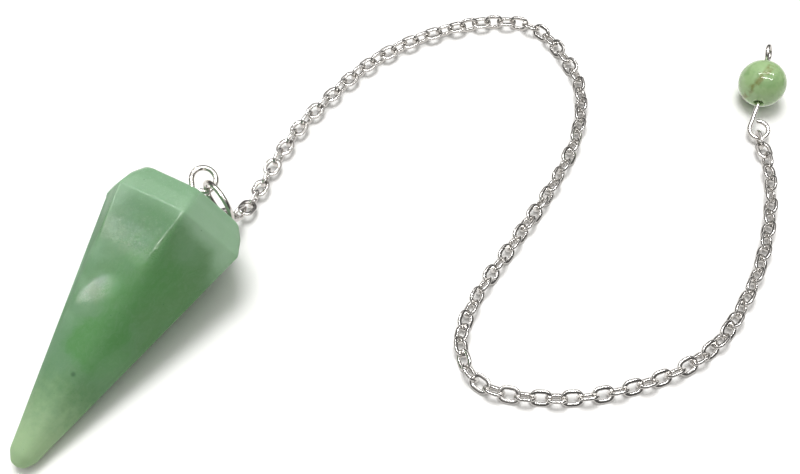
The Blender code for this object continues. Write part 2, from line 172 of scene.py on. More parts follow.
class WireSettings(bpy.types.PropertyGroup):
    """Sizes and colour of the eye, the jump ring and the bead's pin"""

    gap: length("Gap", "Clearance between pieces that only touch", 0.0003)
    eye_wire: length("Eye wire", "Thickness of the eye's wire", 0.00065)
    eye_across: length("Eye across", "Outside of the eye's loop", 0.0035)
    eye_reach: length("Eye reach", "Table to the loop's middle", 0.0030)
    eye_neck: length("Eye neck", "Straight wire above the table", 0.0006)
    eye_depth: length("Eye depth", "Shank inside the stone", 0.0035)
    eye_turn: angle("Eye turn", "About the stone's axis, the side that the ring leans to", 206.0)
    ring_wire: length("Ring wire", "Thickness of the jump ring's wire", 0.00065)
    ring_across: length("Ring across", "Outside of the jump ring", 0.0058)
    ring_slit: length("Ring slit", "Opening where the ring is cut", 0.00012)
    slit_turn: angle("Slit turn", "Round the ring from its far end", 130.0)
    chain_turn: angle("Chain turn", "Round the ring from its far end to the first link", 60.0)
    pin_wire: length("Pin wire", "Thickness of the bead's pin", 0.00055)
    pin_heading: angle("Pin heading", "Way from the bead to the chain, from +X", 253.5)
    lower_across: length("Lower loop", "Outside of the loop that holds the chain", 0.0029)
    lower_reach: length("Lower reach", "Bead's surface to that loop's middle", 0.0036)
    lower_shift: length("Lower shift", "That loop's middle off the pin's line", 0.0007)
    upper_across: length("Upper loop", "Outside of the other loop", 0.00245)
    upper_reach: length("Upper reach", "Bead's surface to that loop's middle", 0.00145)
    upper_turn: angle("Upper turn", "About the pin between the two loops", -72.0)
    loop_slit: length("Loop slit", "Opening where a loop meets its own wire", 0.00012)
    last_turn: angle("Last link turn", "Round the lower loop from its far end to that link", 12.0)
    metal: colour("Metal", "Colour of the wire", (0.72, 0.70, 0.665))
    roughness: share("Roughness", "Polish of the wire", 0.13)


class ChainSettings(bpy.types.PropertyGroup):
    """Sizes and colour of the chain"""

    link_length: length("Link length", "Outside of a link, the long way", 0.00245)
    link_width: length("Link width", "Outside of a link, the short way", 0.00195)
    link_wire: length("Link wire", "Thickness of a link's wire", 0.00042)
    link_face: length("Link face", "Width of the wire across its pressed faces", 0.00050)
    wire_seat: share("Wire seat", "Middle to middle of the solids' crossing wires, in wires", 0.70)
    wire_fullness: number("Wire fullness", "Corners of the solids' wire, in radii", 1.10, min=1.0)
    meeting_slack: length("Meeting slack", "Play between the two stretches", 0.00032)
    upper_share: share("Upper share", "Share of the links in the first stretch", 0.5)
    drop_run: length("Drop run", "The chain comes down from the ring over this run", 0.0052)
    flatness: share("Flatness", "How far the wire's faces are pressed flat", 0.40)
    sway: angle("Sway", "Largest chance turn of a link about its long way", 9.0)
    seed: IntProperty(name="Seed", description="Picks the chance turns", default=11)
    metal: colour("Metal", "Colour of the links", (0.70, 0.685, 0.665))
    roughness: share("Roughness", "Polish of the links", 0.14)


class BeadSettings(bpy.types.PropertyGroup):
    """Sizes and colours of the bead"""

    across: length("Across", "Diameter of the bead", 0.0060)
    mouth_soft: length("Mouth rounding", "Radius at the hole's mouths", 0.00016)
    pale: colour("Pale green", "Body colour", (0.350, 0.505, 0.255))
    green: colour("Green", "Colour of the clouds", (0.255, 0.410, 0.180))
    vein: colour("Vein", "Colour of the brown vein", (0.215, 0.225, 0.072))
    roughness: share("Roughness", "Polish of the bead", 0.05)


class StageSettings(bpy.types.PropertyGroup):
    """Camera, floor and light"""

    tilt: angle("Camera tilt", "How steeply the camera looks down", 56.157)
    height: length("Camera height", "Above the table", 0.114745)
    lens: number("Lens", "Focal length for a 36 mm sensor", 51.62, unit="CAMERA")
    key: number("Key", "Wide soft lamp overhead", 7.0, unit="POWER")
    tubes: number("Tubes", "Each lamp tube that polished faces show", 0.60, unit="POWER")
    spots: number("Spots", "Unit for the stone's small lamps", 0.002, precision=4, unit="POWER")
    ceiling: number("Ceiling", "Brightness of the room overhead", 1.2, min=0.0)
    walls: share("Walls", "Brightness of the room near the horizon", 0.10)
    window: share("Window", "How much brighter the left side is", 0.1)
    ground: share("Ground", "What polished faces show of the table", 0.95)
    floor: colour("Floor", "Colour of the table", (0.93, 0.93, 0.92))


# Painted shade: a dull, darker tone on the metal's faces that turn sideways or down
SIDE_SHADE = (0.330, 0.300, 0.260)
# Where the stone's table and the bead stand before the whole is centred
TABLE_PLACE = (-0.02844, -0.00334)
BEAD_PLACE = (0.0423, 0.0188)
# The point that the camera looks at, in the same plan
AIM_PLACE = (-0.0044, -0.00304)
# The most that rounding takes of the stone's section, outside and at its hole
MOST_ROUND, HOLE_ROUND = 0.85, 0.97
# How far the blunt end stands out, in tip heights
TIP_DOME = 0.15
WAVER_SEED = 5
WIRE_SIDES = 20
PIN_SIDES = 18
RING_STEPS = 97
MM = 1000.0
EAST, NORTH, UP = np.eye(3)
FULL_TURN = 2 * math.pi
# Lamps in millimetres: place, aim, size, spin and spread in degrees, the stage's setting
# for the power, and the lamp's share of it. The bead and the metal show the tubes, and the
# stone's highlights are the spots.
LAMPS = (
    ("key", (-60, 260, 960), (0, 0, 0), (450, 450), 0, 180, "key", 1),
    ("tube_back", (50, 79, 350), (50, 79, 0), (500, 18), -6, 180, "tubes", 1),
    ("tube_front", (90, -86, 350), (90, -86, 0), (360, 18), -13, 180, "tubes", 1),
    ("girdle_spot", (-90, 218, 350), (-28.5, -8.0, 14.4), (18, 80), -43, 14, "spots", 1.2),
    ("ridge_spot", (-106, -140, 350), (-28.8, -10.7, 13.5), (80, 26), -17, 14, "spots", 1.5),
    ("edge_spot", (-365, 32, 350), (-35.1, -7.0, 13.7), (18, 80), 0, 14, "spots", 1.0),
    ("facet_spot", (-285, -53, 350), (-36.7, -16.4, 10.0), (14, 14), 0, 1.4, "spots", 0.05),
)


class Socket:
    """A node's output that takes part in Python sums: each operator adds a Math node."""

    def __init__(self, board, output):
        self.board = board
        self.output = output

    def maths(self, operation, left, right=0.0):
        return self.board.node("ShaderNodeMath", {"operation": operation}, {0: left, 1: right})

    def __add__(self, other):
        return self.maths("ADD", self, other)

    def __sub__(self, other):
        return self.maths("SUBTRACT", self, other)

    def __rsub__(self, other):
        return self.maths("SUBTRACT", other, self)

    def __mul__(self, other):
        return self.maths("MULTIPLY", self, other)

    __radd__ = __add__
    __rmul__ = __mul__


class Board:
    """A material's nodes, with one method for any node and short ways to the usual ones."""

    def __init__(self, tree, shader):
        self.tree = tree
        self.shader = tree.nodes[shader]

    def node(self, kind, settings=None, inputs=None, output=0):
        """Any node: its type, its settings, then values or links for its sockets."""
        made = self.tree.nodes.new(kind)
        for name, value in (settings or {}).items():
            setattr(made, name, value)
        self.plug(made, inputs or {})
        return Socket(self, made.outputs[output])

    def plug(self, made, inputs):
        """Values or links for a node's sockets."""
        for name, value in inputs.items():
            if isinstance(value, Socket):
                self.tree.links.new(value.output, made.inputs[name])
            else:
                made.inputs[name].default_value = value

    def places(self):
        """The point in millimetres, in the part's own frame."""
        return self.scaled(self.node("ShaderNodeTexCoord", output="Object"), MM)

    def turned(self, middle, axes):
        """The point in millimetres in other axes, given by their origin and X, Y, Z."""
        off = self.vector("SUBTRACT", self.places(), tuple(middle * MM))
        parts = [self.dot(off, axis) for axis in axes]
        return self.node("ShaderNodeCombineXYZ", inputs=dict(enumerate(parts)))

    def vector(self, operation, first, second, output=0):
        inputs = {0: first, 1: second}
        return self.node("ShaderNodeVectorMath", {"operation": operation}, inputs, output)

    def scaled(self, point, scale):
        return self.node("ShaderNodeVectorMath", {"operation": "SCALE"}, {0: point, "Scale": scale})

    def dot(self, point, way):
        return self.vector("DOT_PRODUCT", point, tuple(way), "Value")

    def upward(self):
        """How far a face looks up, from -1 to 1."""
        return self.dot(self.node("ShaderNodeNewGeometry", output="Normal"), UP)

    def noise(self, point, scale, detail=2.0, rough=0.5, kind="Fac"):
        inputs = {"Vector": point, "Scale": scale, "Detail": detail, "Roughness": rough}
        return self.node("ShaderNodeTexNoise", inputs=inputs, output=kind)

    def cells(self, point, scale, kind):
        inputs = {"Vector": point, "Scale": scale}
        return self.node("ShaderNodeTexVoronoi", inputs=inputs, output=kind)

    def stray(self, point, scale, reach):
        """The point moved by up to about a reach, so that outlines wander."""
        drift = self.centred(self.noise(point, scale, kind="Color"), 2.0 * reach)
        return self.vector("ADD", point, drift)

    def centred(self, noise, reach):
        """A noise colour as a way: from minus half the reach to plus half of it."""
        return self.scaled(self.vector("SUBTRACT", noise, (0.5, 0.5, 0.5)), reach)

    def ease(self, value, low, high, start=0.0, end=1.0):
        """Eases from start to end while the value goes from low to high."""
        inputs = {"Value": value, "From Min": low, "From Max": high, "To Min": start, "To Max": end}
        return self.node("ShaderNodeMapRange", {"interpolation_type": "SMOOTHSTEP"}, inputs)

    def mix(self, factor, *colours):
        """A colour from two colours."""
        first, second = [tone if isinstance(tone, Socket) else (*tone, 1.0) for tone in colours]
        inputs = {0: factor, 6: first, 7: second}
        return self.node("ShaderNodeMix", {"data_type": "RGBA"}, inputs, 2)

    def patches(self, point, spots):
        """Soft balls added up: each has a middle, a size and a depth."""
        total = 0.0
        for *middle, size, depth in spots:
            away = self.vector("DISTANCE", point, middle, "Value")
            total = self.ease(away, 0.2 * size, 1.3 * size, depth, 0.0) + total
        return total

    def bump(self, height, depth):
        """A normal from a height that stands for a depth in metres."""
        return self.node("ShaderNodeBump", inputs={"Distance": depth, "Height": height})

    def finish(self, **inputs):
        """Sets the shader's sockets by name, with underscores for spaces."""
        self.plug(self.shader, {name.replace("_", " "): value for name, value in inputs.items()})


def new_finish(name):
    """A material and the board for its nodes."""
    material = bpy.data.materials.new(name)
    material.use_nodes = True
    return material, Board(material.node_tree, "Principled BSDF")


def add_object(name, data):
    """An object at the origin of the scene."""
    made = bpy.data.objects.new(name, data)
    bpy.context.scene.collection.objects.link(made)
    return made


def add_piece(name, surface, material, slot, *nodes):
    """A smooth-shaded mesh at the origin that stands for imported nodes."""
    points, faces = surface
    mesh = bpy.data.meshes.new(name)
    mesh.from_pydata(points.reshape(-1, 3), [], faces)
    mesh.polygons.foreach_set("use_smooth", np.ones(len(mesh.polygons), dtype=bool))
    mesh.materials.append(material)
    mesh.validate()
    mesh.update()
    piece = add_object(name, mesh)
    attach(piece, BODY)
    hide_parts(*nodes)


def grid_faces(rows, columns, wrap_rows=False):
    """Quads of a grid whose columns close on themselves, and whose rows may."""
    starts = rows if wrap_rows else rows - 1
    row, column = np.meshgrid(np.arange(starts), np.arange(columns), indexing="ij")
    below = (row + 1) % rows
    after = (column + 1) % columns
    corners = ((row, column), (row, after), (below, after), (below, column))
    return np.stack([first * columns + second for first, second in corners], axis=-1).reshape(-1, 4)


def capped(rows, columns):
    """A grid's quads with a fan of triangles to a middle point at both ends.

    The two middle points follow the grid's own points.
    """
    column = np.arange(columns)
    after = (column + 1) % columns
    first = rows * columns
    start = np.stack([np.full(columns, first), after, column], axis=-1)
    last = (rows - 1) * columns
    end = np.stack([np.full(columns, first + 1), last + column, last + after], axis=-1)
    return grid_faces(rows, columns).tolist() + start.tolist() + end.tolist()


def on_levels(plan, heights):
    """Rows of flat points, each row lifted to its height."""
    heights = np.broadcast_to(heights[:, None, None], (*plan.shape[:2], 1))
    return np.concatenate([plan, heights], axis=2)


def unit(rows):
    """Each row scaled to length one."""
    rows = np.asarray(rows, dtype=float)
    return rows / np.linalg.norm(rows, axis=-1, keepdims=True)


def swung(turn, first, second):
    """The way at a turn from the first way towards the second, which is square to it."""
    return np.cos(turn) * first + np.sin(turn) * second


def round_turns(sides):
    """Evenly spaced turns round a circle."""
    return np.linspace(0.0, FULL_TURN, sides, endpoint=False)


def run_lengths(path):
    """Distance from the start to each point of a path."""
    return np.concatenate([[0.0], np.cumsum(np.linalg.norm(np.diff(path, axis=0), axis=1))])


def sampled(rows, places, wanted):
    """The rows, which stand at rising places, worked out for the places that are wanted."""
    return np.column_stack([np.interp(wanted, places, column) for column in rows.T])


def tube(path, radius, sides, across, domed=0.6):
    """A round wire: a circle carried along a path, with domed ends.

    The circle's first radius is the given way across, made square to the path. At each
    end three smaller circles, on an ellipse as high as the dome's share of the radius,
    close the wire to a point.
    """
    path = np.asarray(path, dtype=float)
    along = unit(np.gradient(path, axis=0))
    across = np.broadcast_to(across, path.shape)
    rise = np.radians([85.0, 60.0, 30.0])
    steps = domed * radius * np.sin(rise)[:, None]
    path = np.vstack([path[0] - steps * along[0], path, path[-1] + steps[::-1] * along[-1]])
    along, across = [np.vstack([way[[0, 0, 0]], way, way[[-1, -1, -1]]]) for way in (along, across)]
    radii = np.concatenate([np.cos(rise), np.ones(len(path) - 6), np.cos(rise[::-1])]) * radius
    across = unit(across - along * np.sum(across * along, axis=1, keepdims=True))
    third = np.cross(along, across)
    turn = round_turns(sides)[:, None]
    points = path[:, None] + radii[:, None, None] * swung(turn, across[:, None], third[:, None])
    last_step = domed * radius - steps[0]
    tips = [path[0] - last_step * along[0], path[-1] + last_step * along[-1]]
    return np.vstack([points.reshape(-1, 3), tips]), capped(len(path), sides)


def looped_end(neck, reach, outside, wire, slit, shift=0.0, steps=40):
    """A wire's way into a round eye, as (across, along) from its root.

    The wire runs straight for the neck, leaves it on the line that touches the loop's
    circle, and follows the circle until it almost meets itself.
    """
    radius = (outside - wire) / 2
    span = math.hypot(reach - neck, shift)
    lead = math.asin(radius / span) - math.atan2(shift, reach - neck)
    touch = math.sqrt(span ** 2 - radius ** 2)
    run = np.linspace(0.0, touch, 6)[:-1, None]
    straight = run * (-math.sin(lead), math.cos(lead)) + (0.0, neck)
    sweep = FULL_TURN - math.acos(1 - (wire + slit) / radius)
    turn = math.pi + lead - np.linspace(0.0, sweep, steps)[:, None]
    return np.vstack([straight, radius * swung(turn, *np.eye(2)) + (shift, reach)])


def eased(path, reach):
    """The path with its corners drawn round: each point is averaged with its neighbours."""
    run = run_lengths(path)
    fine = sampled(path, run, np.linspace(0.0, run[-1], max(24, int(run[-1] / reach * 4))))
    for _ in range(3):
        fine[1:-1] = (fine[:-2] + 2 * fine[1:-1] + fine[2:]) / 4
    return fine


class Layout:
    """Where the stone and the bead stand, worked out from the settings.

    Each has its own axes: the stone's Z comes out of its table and its Y points up from
    the facet that it lies on; the bead's Z runs along its pin to the chain.
    """

    def __init__(self, scene):
        self.stone = scene.pendant_stone
        self.wire = scene.pendant_wire
        self.chain = scene.pendant_chain
        self.bead = scene.pendant_bead
        self.shift = np.zeros(3)
        self.place_stone()
        self.place_bead()
        sharp = self.from_stone(self.sharp_corners())
        self.shift = np.array(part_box("stone")[0]) - sharp.min(axis=0)

    def place_stone(self):
        stone = self.stone
        tilt = math.atan2(stone.thick / 2, stone.taper)
        flat = swung(stone.heading, EAST, NORTH)
        out = swung(tilt, flat, UP)
        up = swung(tilt, UP, -flat)
        self.stone_axes = np.array([np.cross(up, out), up, out])
        height = (stone.taper + stone.crown_height) * math.sin(tilt)
        self.stone_place = np.array([*TABLE_PLACE, height])

    def place_bead(self):
        radius = self.bead.across / 2
        wire = self.wire
        self.lower_radius = (wire.lower_across - wire.pin_wire) / 2
        lift = self.chain.link_wire + wire.gap + wire.pin_wire / 2
        tilt = math.asin((radius - lift) / (radius + wire.lower_reach + self.lower_radius))
        flat = swung(wire.pin_heading, EAST, NORTH)
        along = swung(tilt, flat, -UP)
        across = np.cross(UP, flat)
        self.bead_axes = np.array([across, np.cross(along, across), along])
        self.bead_place = np.array([*BEAD_PLACE, radius])

    def from_stone(self, points):
        """Points in the stone's own axes, in the part's frame."""
        return self.stone_place + np.asarray(points) @ self.stone_axes + self.shift

    def from_bead(self, points):
        """Points in the bead's own axes, in the part's frame."""
        return self.bead_place + np.asarray(points) @ self.bead_axes + self.shift

    def section(self):
        """The hexagon's corners where the top facet lies at height one, in order of turn."""
        stone = self.stone
        side = stone.across / stone.thick
        top = side * stone.top_share
        reach = top + stone.wider / (stone.thick / 2)
        return np.array([(side, 0), (reach, 1), (-top, 1), (-side, 0), (-top, -1), (top, -1)])

    def profile_corners(self):
        """The stone's outline in the plane square to its top facet, as (height, along).

        It runs from the table's edge over the girdle and the tip's shoulder to the end.
        """
        stone = self.stone
        shoulder = stone.tip_cut - stone.taper - stone.crown_height
        tip = stone.across * stone.tip_cut / stone.taper
        across = np.array([stone.table_across, stone.across, tip, stone.tip_across])
        along = [0.0, -stone.crown_height, shoulder, shoulder - stone.tip_height]
        return np.column_stack([across / 2 * stone.thick / stone.across, along])

    def sharp_corners(self):
        """The corners that the stone would have with sharp edges."""
        rise, along = self.profile_corners().T
        flat = rise[:, None, None] * self.section() + (self.stone.sideways, 0.0)
        return on_levels(flat, along).reshape(-1, 3)

    def eye_ways(self):
        """The way across the eye's loop, towards the ring's side, and the way through it."""
        across = swung(self.wire.eye_turn, EAST, NORTH)
        return across, np.cross(UP, across)

    def ring_circle(self):
        """The jump ring's middle, its way to the far end, its way through the eye, its radius."""
        wire = self.wire
        across, through = self.eye_ways()
        radius = (wire.ring_across - wire.ring_wire) / 2
        hang = wire.eye_across / 2 - wire.eye_wire - wire.ring_wire / 2 - wire.gap
        drop = wire.eye_reach - wire.ring_wire / 2 - wire.gap
        far = swung(math.asin(min(1.0, drop / (hang + 2 * radius))), across, -UP)
        return wire.eye_reach * UP + (hang + radius) * far, far, through, radius

    def ring_hold(self):
        """The ring's wire where the first link hangs."""
        middle, far, through, radius = self.ring_circle()
        return self.from_stone(middle + radius * swung(self.wire.chain_turn, far, through))

    def pin_hold(self):
        """The lower loop's wire where the last link hangs."""
        wire = self.wire
        middle = wire.lower_shift * EAST + (self.bead.across / 2 + wire.lower_reach) * UP
        return self.from_bead(middle + self.lower_radius * swung(wire.last_turn, UP, EAST))


def filleted(corners, radii, steps):
    """A line through corners with each one rounded by an arc that touches both runs.

    The arc's middle lies on the corner's bisector, so that the arc starts and ends
    radius times the tangent of half the turn away from the corner.
    """
    corners = np.asarray(corners, dtype=float)
    line = [corners[:1]]
    for before, corner, after, radius in zip(corners[:-2], corners[1:-1], corners[2:], radii):
        back, ahead = unit([before - corner, after - corner])
        half = math.acos(float(np.clip(-back @ ahead, -1.0, 1.0))) / 2
        middle = corner + unit(back + ahead) * radius / math.cos(half)
        start = corner + back * radius * math.tan(half) - middle
        turn = np.linspace(0.0, 2 * half, steps)[:, None]
        line.append(middle + swung(turn, start, -radius * back))
    return np.vstack(line + [corners[-1:]])


def refined(line, longest):
    """The line with its long runs cut into steps that are short near the ends of a run."""
    cuts = []
    for start, end in zip(line[:-1], line[1:]):
        count = max(1, math.ceil(np.linalg.norm(end - start) / longest))
        part = (1 - np.cos(np.pi * np.arange(count) / count)) / 2
        cuts.append(start + part[:, None] * (end - start))
    return np.vstack(cuts + [line[-1:]])


def smooth_chance(generator, rows, columns, reach):
    """Smooth random numbers down each column: white noise averaged over a reach of rows."""
    noise = generator.standard_normal((rows + 2 * reach, columns))
    window = np.hanning(2 * reach + 1)
    window /= np.linalg.norm(window)
    return np.stack([np.convolve(column, window, mode="valid") for column in noise.T], axis=1)


def stone_surface(layout):
    """The pendulum: a hexagon with rounded corners, scaled along a rounded profile.

    A point at a corner is the corner, minus the rounding times the corner's mitre, plus
    the rounding times the outward way there; the mitre is the sum of the two facets'
    outward ways over one plus their dot product. Points on a facet lie on the straight
    between two corners and stand proud by the swell. The profile starts at the bottom of
    the eye's hole, where the section is nearly a circle, and runs over the table, crown
    and long facets to the tip. The long edges' rounding grows to the tip and wavers.
    """
    stone = layout.stone
    wire = layout.wire
    hole = wire.eye_wire / 2 + wire.gap
    edge = layout.profile_corners()
    slope = unit(edge[1] - edge[0])
    crown = (edge[0] + edge[1]) / 2 + stone.crown_swell * np.array([-slope[1], slope[0]])
    corners = np.vstack([
        [(0.0, -wire.eye_depth - wire.gap), (hole, -wire.eye_depth - wire.gap), (hole, 0.0)],
        edge[:1],
        [crown],
        edge[1:],
        [(0.0, edge[-1, 1] - TIP_DOME * stone.tip_height)],
    ])
    bottom_soft, mouth_soft, crown_soft, longest_step = 0.0001, 0.00006, 0.0025, 0.0007
    radii = (bottom_soft, mouth_soft, stone.table_soft, crown_soft, stone.girdle_soft,
             stone.tip_soft, stone.tip_soft / 2)
    profile = refined(filleted(corners, radii, 9), longest_step)[1:-1]
    rise = profile[:, 0]
    along = profile[:, 1]
    down = (-stone.crown_height - along) / stone.taper
    generator = np.random.default_rng(WAVER_SEED)
    waver = 1 + stone.waver * smooth_chance(generator, len(profile), columns=6, reach=6)
    shares, radii = zip(*STONE_EDGES)
    rounding = sampled(np.array(radii), shares, down) / MM * stone.edge_worn * waver
    rounding = np.minimum(rounding, MOST_ROUND * rise[:, None])
    inner = np.clip((rise - hole) / (3 * hole), 0.0, 1.0)
    on_top = along > -stone.crown_height
    round_hole = np.where(on_top, (1 - inner) * HOLE_ROUND * rise, 0.0)
    rounding = np.maximum(rounding, round_hole[:, None])

    corner = layout.section()
    run = np.roll(corner, -1, axis=0) - corner
    facet = unit(np.column_stack([run[:, 1], -run[:, 0]]))
    before = np.roll(facet, 1, axis=0)
    mitre = (facet + before) / (1 + np.sum(facet * before, axis=1, keepdims=True))
    start = np.arctan2(before[:, 1], before[:, 0])
    bend = np.mod(np.arctan2(facet[:, 1], facet[:, 0]) - start, FULL_TURN)
    turn = start[:, None] + bend[:, None] * np.linspace(0.0, 1.0, 9)
    outward = swung(turn[..., None], *np.eye(2))
    soft = rounding[:, :, None, None]
    arcs = rise[:, None, None, None] * corner[:, None] + soft * (outward - mitre[:, None])
    part = np.array([0.03, 0.10, 0.25, 0.42, 0.58, 0.75, 0.90, 0.97])[:, None]
    flats = arcs[:, :, -1:] * (1 - part) + np.roll(arcs[:, :, :1], -1, axis=1) * part
    proud = stone.swell * np.sin(np.pi * np.clip(1.12 * down, 0.0, 1.0))[:, None, None, None]
    lies = (facet[:, 1] < -0.9)[:, None, None]
    flats = flats + proud * np.where(lies, 0.0, np.sin(np.pi * part) * facet[:, None])
    plan = np.concatenate([arcs, flats], axis=2).reshape(len(profile), -1, 2)
    share_down = np.clip(-along / (1.1 * stone.crown_height), 0.0, 1.0)[:, None, None]
    aside = np.arctan2(plan[..., 1:], plan[..., :1])
    plan = plan * (1 + stone.bulge * np.sin(np.pi * share_down) * np.exp(-(aside / 0.5) ** 2))
    middle = np.where(on_top, inner, 1.0) * stone.sideways
    plan = plan + np.stack([middle, 0 * middle], axis=-1)[:, None]
    points = on_levels(plan, along)
    ends = [(0.0, 0.0, corners[0, 1]), (stone.sideways, 0.0, corners[-1, 1])]
    faces = [face[::-1] for face in capped(*points.shape[:2])]
    return layout.from_stone(np.vstack([points.reshape(-1, 3), ends])), faces


def aventurine(layout):
    """Translucent green stone: milky ground, wandering dense clouds, a yellowish tip, pale haze
    that is partly painted light, fine streaks, tiny dark grains, and a polish with faint pits and
    glinting flakes."""
    stone = layout.stone
    material, board = new_finish("aventurine")
    own = board.turned(layout.from_stone((0.0, 0.0, 0.0)), layout.stone_axes)
    wander = board.stray(own, 0.28, 1.8)
    fine = board.stray(wander, 1.6, 0.45)
    broad = board.noise(wander, 0.16, 3.0, 0.55)
    grain = board.noise(own, 1.1, 4.0, 0.62)
    leftward = board.dot(own, EAST)
    along = board.dot(own, UP)
    girdle = -stone.crown_height * MM
    crown = board.ease(along, girdle - 1.8, girdle + 0.8)
    greenness = (broad - 0.5) * 2.4 - leftward * 0.08
    body = board.mix(board.ease(greenness, -0.55, 0.75), stone.grey, stone.green)
    body = board.mix(crown, body, stone.milky)
    clouds = board.patches(fine, STONE_CLOUDS)
    dense = board.ease(clouds + (grain - 0.5) * 0.5, 0.10, 1.15)
    body = board.mix(dense * 0.92, body, stone.deep)
    tip_height = -(stone.taper + stone.crown_height - stone.tip_cut) * MM
    tipness = board.ease(along + (grain - 0.5) * 5.0, tip_height + 0.5, tip_height + 10.0, 1.0, 0.0)
    body = board.mix(tipness, body, stone.tip)
    # pale haze, with painted light on the right of the crown and girdle and a painted soft
    # highlight on the left top edge
    body = board.mix(board.patches(fine, STONE_HAZE_AND_PAINTED_LIGHT), body, stone.haze_and_painted_light)
    streak = board.node("ShaderNodeMapping", inputs={"Vector": fine, "Scale": (1.9, 1.9, 0.45)})
    streaks = board.ease(board.noise(streak, 1.3, 4.0, 0.7), 0.40, 0.70)
    body = board.mix(streaks * 0.10, body, stone.milky)
    sparse = board.ease(board.noise(own, 0.9), 0.56, 0.66)
    specks = board.ease(board.cells(own, 1.5, "Distance"), 0.05, 0.13, 1.0, 0.0) * sparse
    body = board.mix(specks * 0.6 + board.patches(own, STONE_FLECK), body, stone.speck)
    scuff = board.noise(own, 2.4, 5.0, 0.7)
    pits = board.noise(own, 7.0, 3.0, 0.6)
    dull = board.ease(board.upward(), 0.45, 0.80, 0.50, 0.0)
    worn = board.ease(along, -12.0, -8.0, 0.50, 0.0) * (1.0 - board.patches(own, STONE_POLISH))
    pitted = board.ease(pits, 0.46, 0.60, 0.0, 0.14)
    rough = board.ease(scuff, 0.35, 0.75, stone.roughness - 0.05, stone.roughness + 0.04)
    rough = rough + pitted + dull + worn
    flakes = board.centred(board.cells(own, 3.6, "Color"), 0.07)
    facing = board.vector("ADD", flakes, board.bump(pits * 0.7 + scuff * 0.6, 0.000009))
    board.finish(
        Base_Color=body, Roughness=rough, Normal=board.vector("NORMALIZE", facing, (0.0, 0.0, 0.0)),
        Subsurface_Weight=0.42, Subsurface_Radius=(0.75, 1.0, 0.7), Subsurface_Scale=0.0022,
        IOR=1.5, Specular_IOR_Level=0.32,
    )
    return material


def polished_metal(name, settings):
    """Bright plated metal: its polish wavers a little and carries faint ripples, and painted shade
    darkens the faces that turn sideways or down.
    """
    tone = tuple(settings.metal)
    roughness = settings.roughness
    material, board = new_finish(name)
    place = board.places()
    cloud = board.noise(place, 1.6, 3.0, 0.6)
    hair = board.noise(place, 9.0, 4.0, 0.65)
    darker = tuple(0.86 * part for part in tone)
    shade = board.mix(board.ease(cloud, 0.35, 0.7) * 0.35, tone, darker)
    # painted shade: darker where the metal's faces turn sideways or down
    shade = board.mix(board.ease(board.upward(), 0.0, 0.55, 0.30, 0.0), shade, SIDE_SHADE)
    rough = board.ease(hair, 0.3, 0.75, max(0.03, roughness - 0.05), roughness + 0.10)
    board.finish(Base_Color=shade, Metallic=1.0, Roughness=rough, Normal=board.bump(cloud, 0.00002))
    return material


def bead_stone(layout):
    """Paler aventurine with green clouds and one brown vein, which is a thin wavy
    sheet through the bead."""
    bead = layout.bead
    material, board = new_finish("bead_aventurine")
    own = board.turned(layout.from_bead((0.0, 0.0, 0.0)), layout.bead_axes)
    wander = board.stray(own, 0.5, 0.5)
    cloud = board.noise(wander, 0.42, 3.0, 0.55)
    body = board.mix(board.ease(cloud, 0.46, 0.68), bead.pale, bead.green)
    sheet = board.dot(board.stray(own, 1.2, 0.22), unit((0.876, -0.147, 0.459))) + 0.53
    thin = board.ease(sheet.maths("ABSOLUTE", sheet), 0.14, 0.60, 1.0, 0.0)
    broken = board.ease(board.noise(own, 0.9, 3.0), 0.34, 0.52)
    body = board.mix(thin * broken * 0.85, body, bead.vein)
    grain = board.noise(own, 2.2, 4.0, 0.65)
    body = board.mix(board.ease(grain, 0.45, 0.8) * 0.25, body, tuple(bead.pale))
    rough = board.ease(grain, 0.3, 0.7, bead.roughness, bead.roughness + 0.03)
    board.finish(
        Base_Color=body, Roughness=rough, Normal=board.bump(grain, 0.000002),
        Subsurface_Weight=0.42, Subsurface_Radius=(0.8, 1.0, 0.7), Subsurface_Scale=0.0014,
        IOR=1.54,
    )
    return material


def smooth_through(points, steps):
    """A smooth curve through the points: cubic pieces whose slope at each point is that
    of its neighbours' chord, taken by distance."""
    points = np.asarray(points, dtype=float)
    runs = np.linalg.norm(np.diff(points, axis=0), axis=1)
    slopes = np.gradient(points, np.concatenate([[0.0], np.cumsum(runs)]), axis=0)
    part = np.linspace(0.0, 1.0, steps, endpoint=False)[None, :, None]
    rise = part ** 2 * (3 - 2 * part) * np.diff(points, axis=0)[:, None]
    bend = (1 - part) * slopes[:-1, None] - part * slopes[1:, None]
    curve = points[:-1, None] + rise + part * (1 - part) * runs[:, None, None] * bend
    return np.vstack([curve.reshape(-1, points.shape[1]), points[-1:]])


